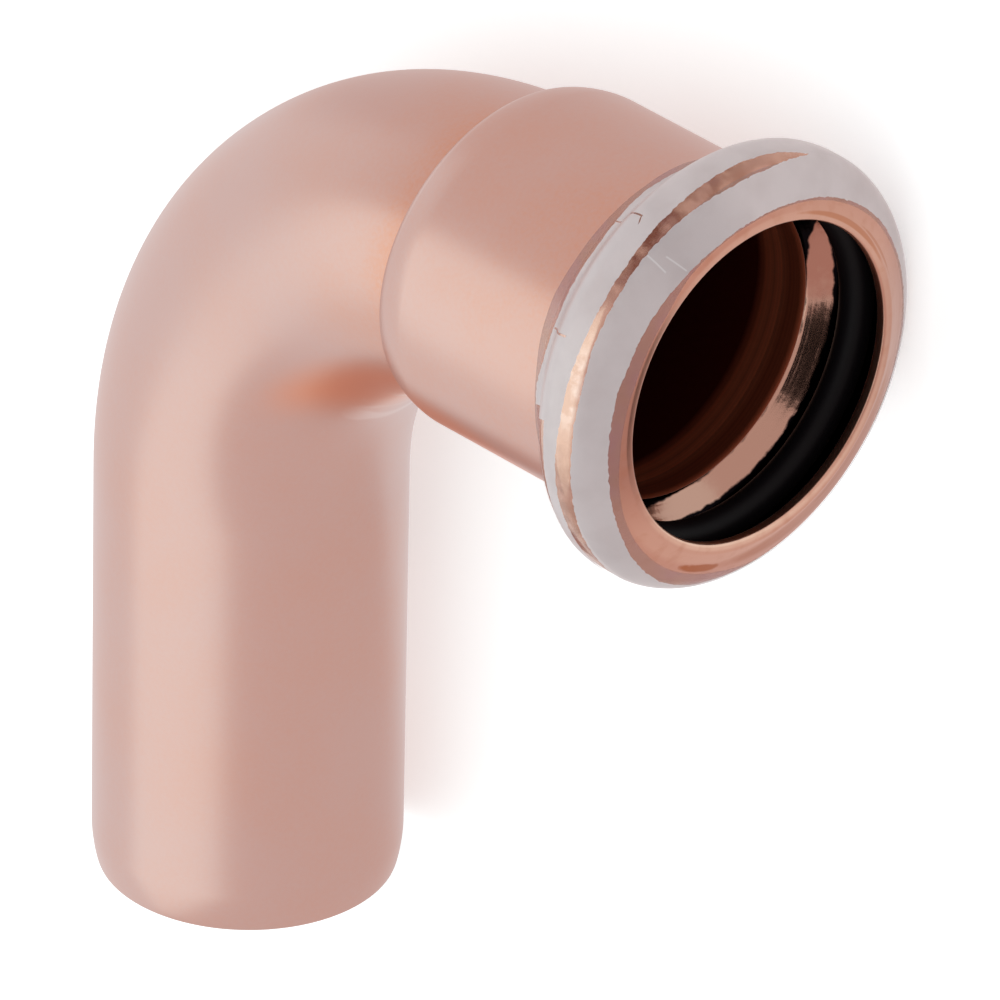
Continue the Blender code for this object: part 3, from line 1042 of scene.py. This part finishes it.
def trim_edges(film, skins):
    """Draws the film's two edges back along the bead's skin, to where they end round the mouth."""
    mesh = film.data
    along = read_rows(mesh.attributes["along"].data, "value", 1).ravel()
    layer = read_rows(mesh.attributes["layer"].data, "value", 1).ravel()
    there = np.array(place())
    points = move(read_rows(mesh.vertices, "co", 3), np.linalg.inv(there))
    above = points[:, 1] - axis_height()
    turn, radius = np.arctan2(above, points[:, 2]), np.hypot(above, points[:, 2])
    moved = along.copy()
    rear, front = FILM_KEPT
    for kept, end, table in ((front, along.max(), FILM_FRONT), (rear, along.min(), FILM_REAR)):
        edge = np.interp(np.degrees(turn), *zip(*table))
        share = np.clip((along - kept) / (end - kept), 0, None)
        moved = np.where(share > 0, kept + share * (edge - kept), moved)
    for which, skin in enumerate(skins):
        here = np.round(layer) == which
        marks = [mark / MM for point, mark in skin]
        for row, values in (
            (points[:, 0], [point.x for point, mark in skin]),
            (radius, [point.y for point, mark in skin]),
        ):
            shift = np.interp(moved, marks, values) - np.interp(along, marks, values)
            row += np.where(here, shift, 0.0)
    points[:, 1] = axis_height() + radius * np.sin(turn)
    points[:, 2] = radius * np.cos(turn)
    mesh.vertices.foreach_set("co", move(points, there).ravel())
    mesh.attributes["along"].data.foreach_set("value", moved.astype(np.float32))
    mesh.update()


class PRESSELBOW_OT_copper(bpy.types.Operator):
    """Bend, swage and bore the copper body"""

    bl_idname = "press_elbow.copper"
    bl_label = "Copper elbow"

    def execute(self, context):
        settings = context.scene.press_elbow
        tube = settings.tube
        body = section_object("elbow_body", tidy_points(socket_section()), False)
        tree = elbow_tree(bent_bar_tree(), turned_tree())
        grow(body, tree, {
            "Tube Radius": tube.radius,
            "Tube Wall": tube.wall,
            "Leg Length": tube.leg,
            "Bend Radius": tube.bend,
            "End Rounding": tube.end_round,
            "Shoulder Start": settings.socket.shoulder_start,
            "Shoulder Slant": settings.socket.slant,
            "Sides": tube.sides,
            "Steps": tube.steps,
            "Material": copper_material(),
        })
        mark_copper(body)
        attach(body, "root")
        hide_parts("copper_elbow")
        return {"FINISHED"}


class PRESSELBOW_OT_seal(bpy.types.Operator):
    """Turn the rubber ring that lies in the bead"""

    bl_idname = "press_elbow.seal"
    bl_label = "Seal ring"

    def execute(self, context):
        size = context.scene.press_elbow.seal
        centre = Vector((size.place, size.radius))
        points = arc(centre, size.section, 0, 2 * math.pi, math.radians(10))[:-1]
        ring = section_object("rubber_seal", points, True)
        grow(ring, ring_tree(turned_tree()), {
            "Axis Height": axis_height(),
            "Unevenness": size.unevenness,
            "Grain": 1 / size.grain,
            "Sides": size.sides,
            "Material": rubber_material(),
        })
        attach(ring, "root")
        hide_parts("seal_ring")
        return {"FINISHED"}


# Distance of the film's rings along its skin.
FILM_STEP = 0.25 * MM


class PRESSELBOW_OT_film(bpy.types.Operator):
    """Shrink the printed film over the bead"""

    bl_idname = "press_elbow.film"
    bl_label = "Indicator film"

    def execute(self, context):
        size = context.scene.press_elbow.film
        bead = BeadShape()
        lines = []
        for offset in (size.gap, size.gap + size.thickness):
            skin = tidy_points(bead.skin(offset))
            skin = divide([Vector((skin[0].x - size.tail, skin[0].y))] + skin, FILM_STEP)
            walked = np.cumsum([0.0] + [(b - a).length for a, b in zip(skin, skin[1:])])
            crest_end = bead.crest_front.x - MERGE
            crest = next(i for i, point in enumerate(skin) if point.x > crest_end)
            lines.append(cut_short(skin, walked - walked[crest], size.front))
        loop = lines[0] + lines[1][::-1]
        film = section_object("printed_film", [p for p, a in loop], True, {
            "along": [a / MM for p, a in loop],
            "layer": [0.0] * len(lines[0]) + [1.0] * len(lines[1]),
        })
        grow(film, ring_tree(turned_tree()), {
            "Axis Height": axis_height(),
            "Unevenness": size.ripple,
            "Grain": 1 / size.grain,
            "Sides": size.sides,
            "Material": film_material(),
        })
        trim_edges(film, lines)
        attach(film, "root")
        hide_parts("indicator_sleeve")
        return {"FINISHED"}


# The camera in the fitting's own plane, from a fit to the photograph. Its lens and its sensor's
# width are in mm, other lengths in metres.
VIEW_TURN = math.radians(45.96)
VIEW_RISE = math.radians(30.735)
VIEW_ROLL = math.radians(-1.205)
VIEW_DISTANCE = 1.05321
VIEW_AIM = Vector((0.0088, 0.0275, 0.0))
VIEW_OFFSET = Vector((-0.0113, -0.00442))
VIEW_LENS, VIEW_SENSOR = 547.0, 36.0

WHITE = (1.0, 1.0, 1.0)
# Towards the middle of the bright half of the surround, and the cosines of the angles from there
# between which it dims.
WINDOW = (-0.918, -0.298, -0.261)
WINDOW_EDGE = (0.41, 0.74)
# The softbox overhead: towards it, its distance and its side in metres, and its tint.
LAMP_TOWARDS = Vector((-0.28, -0.13, 0.95))
LAMP_DISTANCE, LAMP_SIDE = 0.8, 1.3
LAMP_TINT = (0.68, 0.97, 1.0)
# Half the floor's side in metres, and how much it glows for the camera, so that it looks white.
FLOOR_HALF = 1.5
FLOOR_GLOW = 0.42
# Middle of the white card on the floor, and the distances from there between which it starts.
CARD_MIDDLE = (0.048, 0.019, 0.0)
CARD_EDGE = (21 * MM, 16 * MM)
# The dark flag before the mouth, in mm: its distance from the leg's axis, its middle as height
# over the socket's axis and Z, and half its length and width. Its length slopes.
FLAG_PLACE, FLAG_MIDDLE, FLAG_HALF = 61.6, (-4.85, 2.15), (5.9, 3.2)
FLAG_SLOPE = math.radians(-26.3)


def camera_matrix():
    """Where the camera stands: it sees the lying fitting as the photograph shows it upright."""
    aside, ahead = math.sin(VIEW_TURN), math.cos(VIEW_TURN)
    level = math.cos(VIEW_RISE)
    back = Vector((aside * level, math.sin(VIEW_RISE), ahead * level))
    level_right = Vector((ahead, 0.0, -aside))
    level_up = back.cross(level_right)
    right = math.cos(VIEW_ROLL) * level_right - math.sin(VIEW_ROLL) * level_up
    up = math.sin(VIEW_ROLL) * level_right + math.cos(VIEW_ROLL) * level_up
    stand = VIEW_AIM - VIEW_OFFSET.x * right - VIEW_OFFSET.y * up + VIEW_DISTANCE * back
    axes = Matrix((right, up, back)).transposed().to_4x4()
    return place() @ Matrix.Translation(stand) @ axes


def look_mirrored(tree, surface, mirrored):
    """Gives a material a surface, and a plain colour where something glossy mirrors it."""
    either = signal(tree, "ShaderNodeMixShader", {
        "Fac": signal(tree, "ShaderNodeLightPath", output="Is Glossy Ray"),
        1: surface,
        2: signal(tree, "ShaderNodeEmission", {"Color": mirrored}),
    })
    fill(tree.nodes["Material Output"], {"Surface": either})


def flat_piece(name, corners, material):
    """A flat piece of the stage with four corners."""
    mesh = bpy.data.meshes.new(name)
    mesh.from_pydata(corners, [], [(0, 1, 2, 3)])
    mesh.materials.append(material)
    piece = bpy.data.objects.new(name, mesh)
    bpy.context.scene.collection.objects.link(piece)
    return piece


def surround(tree, coordinate):
    """Colour of the surround in a direction: brighter on the window's side."""
    stage = bpy.context.scene.press_elbow.stage
    kind = "ShaderNodeVectorMath"
    towards = signal(tree, "ShaderNodeTexCoord", output=coordinate)
    unit = signal(tree, kind, {0: towards}, operation="NORMALIZE")
    window = signal(tree, kind, {0: unit, 1: WINDOW}, "Value", operation="DOT_PRODUCT")
    share = window.ramp(*WINDOW_EDGE, shape="SMOOTHSTEP")
    return share.blend(stage.dim_side, stage.bright_side)


class PRESSELBOW_OT_stage(bpy.types.Operator):
    """Set up the floor, the light and the camera"""

    bl_idname = "press_elbow.stage"
    bl_label = "Stage"

    def execute(self, context):
        scene = context.scene
        stage = scene.press_elbow.stage
        scene.view_settings.view_transform = "Standard"
        self.make_world(scene, stage)
        self.make_floor(stage)
        self.make_flag(stage)
        self.make_lamp(scene, stage)
        self.make_camera(scene)
        return {"FINISHED"}

    def make_world(self, scene, stage):
        """A white surround for the camera, and an even soft light for everything else."""
        world = bpy.data.worlds.new("studio")
        world.use_nodes = True
        tree = world.node_tree
        path = add_node(tree, "ShaderNodeLightPath").outputs
        seen = Signal(path["Is Diffuse Ray"]).blend(WHITE, stage.fill)
        seen = Signal(path["Is Glossy Ray"]).blend(seen, surround(tree, "Generated"))
        fill(tree.nodes["Background"], {"Color": seen})
        scene.world = world

    def make_floor(self, stage):
        """A wide pale floor that keeps the fitting's shadow and otherwise fades to white."""
        material, tree, shader = new_material("pale_floor")
        fill(shader, {
            "Base Color": (*stage.floor, 1.0),
            "Roughness": 0.9,
            "Emission Color": (*WHITE, 1.0),
            "Emission Strength": (
                signal(tree, "ShaderNodeLightPath", output="Is Camera Ray") * FLOOR_GLOW
            ),
        })
        # Mirrored, the floor looks like the surround, with a white card in front of the mouth.
        spot = signal(tree, "ShaderNodeTexCoord", output="Object")
        links = {0: spot, 1: CARD_MIDDLE}
        away = signal(tree, "ShaderNodeVectorMath", links, "Value", operation="DISTANCE")
        mirrored = away.ramp(*CARD_EDGE).blend(surround(tree, "Object"), WHITE)
        look_mirrored(tree, Signal(shader.outputs["BSDF"]), mirrored)
        half = FLOOR_HALF
        corners = [(-half, -half, 0), (half, -half, 0), (half, half, 0), (-half, half, 0)]
        floor = flat_piece("floor", corners, material)

    def make_flag(self, stage):
        """A small dark flag before the mouth, only seen mirrored."""
        slope = direction(FLAG_SLOPE)
        across = Vector((-slope.y, slope.x))
        corners = []
        for i, j in ((-1, -1), (1, -1), (1, 1), (-1, 1)):
            y, z = Vector(FLAG_MIDDLE) + i * FLAG_HALF[0] * slope + j * FLAG_HALF[1] * across
            corner = Vector((FLAG_PLACE * MM, axis_height() + y * MM, z * MM))
            corners.append(place() @ corner)
        material, tree, _ = new_material("dark_flag")
        look_mirrored(tree, signal(tree, "ShaderNodeBsdfTransparent"), (*stage.flag, 1.0))
        flag = flat_piece("flag", corners, material)

    def make_lamp(self, scene, stage):
        """A square softbox that faces the fitting."""
        light = bpy.data.lights.new("overhead_softbox", "AREA")
        light.shape = "RECTANGLE"
        light.size = light.size_y = LAMP_SIDE
        light.energy = stage.key * math.pi * LAMP_SIDE * LAMP_SIDE
        light.color = LAMP_TINT
        lamp = bpy.data.objects.new("overhead_softbox", light)
        scene.collection.objects.link(lamp)
        towards = LAMP_TOWARDS.normalized()
        lamp.location = towards * LAMP_DISTANCE
        lamp.rotation_euler = towards.to_track_quat("Z", "Y").to_euler()

    def make_camera(self, scene):
        """The camera, where the photograph was taken from."""
        camera = bpy.data.objects.new("camera", bpy.data.cameras.new("camera"))
        scene.collection.objects.link(camera)
        camera.data.lens = VIEW_LENS
        camera.data.sensor_width = VIEW_SENSOR
        camera.data.clip_end = 10.0
        camera.matrix_world = camera_matrix()
        scene.camera = camera


class PRESSELBOW_PT_panel(bpy.types.Panel):
    """Lists the pieces of the fitting"""

    bl_idname = "PRESSELBOW_PT_panel"
    bl_label = "Press Elbow"
    bl_space_type = "VIEW_3D"
    bl_region_type = "UI"
    bl_category = "Press Elbow"

    def draw(self, context):
        layout = self.layout
        for operator in OPERATORS:
            layout.operator(operator.bl_idname)


GROUPS = (
    TubeSizes, SocketSizes, BeadSizes, SealSizes, FilmSizes, Finishes, StageSettings,
    PressElbowSettings,
)
OPERATORS = (PRESSELBOW_OT_stage, PRESSELBOW_OT_copper, PRESSELBOW_OT_seal, PRESSELBOW_OT_film)


def register():
    for cls in GROUPS + OPERATORS + (PRESSELBOW_PT_panel,):
        bpy.utils.register_class(cls)
    bpy.types.Scene.press_elbow = PointerProperty(type=PressElbowSettings)


def unregister():
    del bpy.types.Scene.press_elbow
    for cls in reversed(GROUPS + OPERATORS + (PRESSELBOW_PT_panel,)):
        bpy.utils.unregister_class(cls)


def main():
    register()
    bpy.ops.press_elbow.stage()
    bpy.ops.press_elbow.copper()
    bpy.ops.press_elbow.seal()
    bpy.ops.press_elbow.film()


if __name__ == "__main__":
    main()
